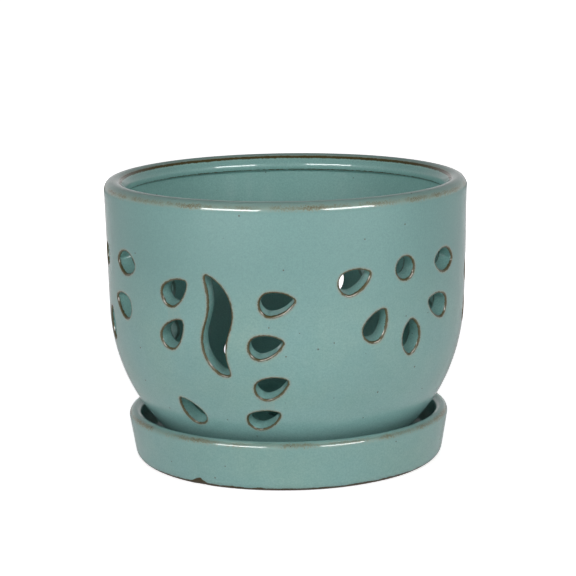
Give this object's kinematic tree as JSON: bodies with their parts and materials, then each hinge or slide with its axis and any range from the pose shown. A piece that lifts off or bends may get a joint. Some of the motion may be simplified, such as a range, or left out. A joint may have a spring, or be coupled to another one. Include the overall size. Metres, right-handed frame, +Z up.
{
  "type": "slotted orchid pot",
  "caption": "Round glazed plant pot with a rounded rim and a wall pierced by curved stems and leaf-shaped slots, standing in a matching saucer.",
  "frame": {"origin": "on the pot's axis, at the saucer's underside", "axes": "+Z up along the axis of pot and saucer; -Y through the middle of one curved stem slot"},
  "size_m": [0.165, 0.165, 0.129],
  "materials": {
    "aqua_glaze": "glossy blue-green glaze that breaks brown on every edge, over stoneware"
  },
  "bodies": {
    "saucer": {"saucer": "aqua_glaze"},
    "pot": {"pot": "aqua_glaze"}
  },
  "joints": [
    {"name": "pot_lift", "type": "slide", "parent": "saucer", "child": "pot", "axis": [0, 0, 1], "range_m": [0, 0.06]}
  ]
}
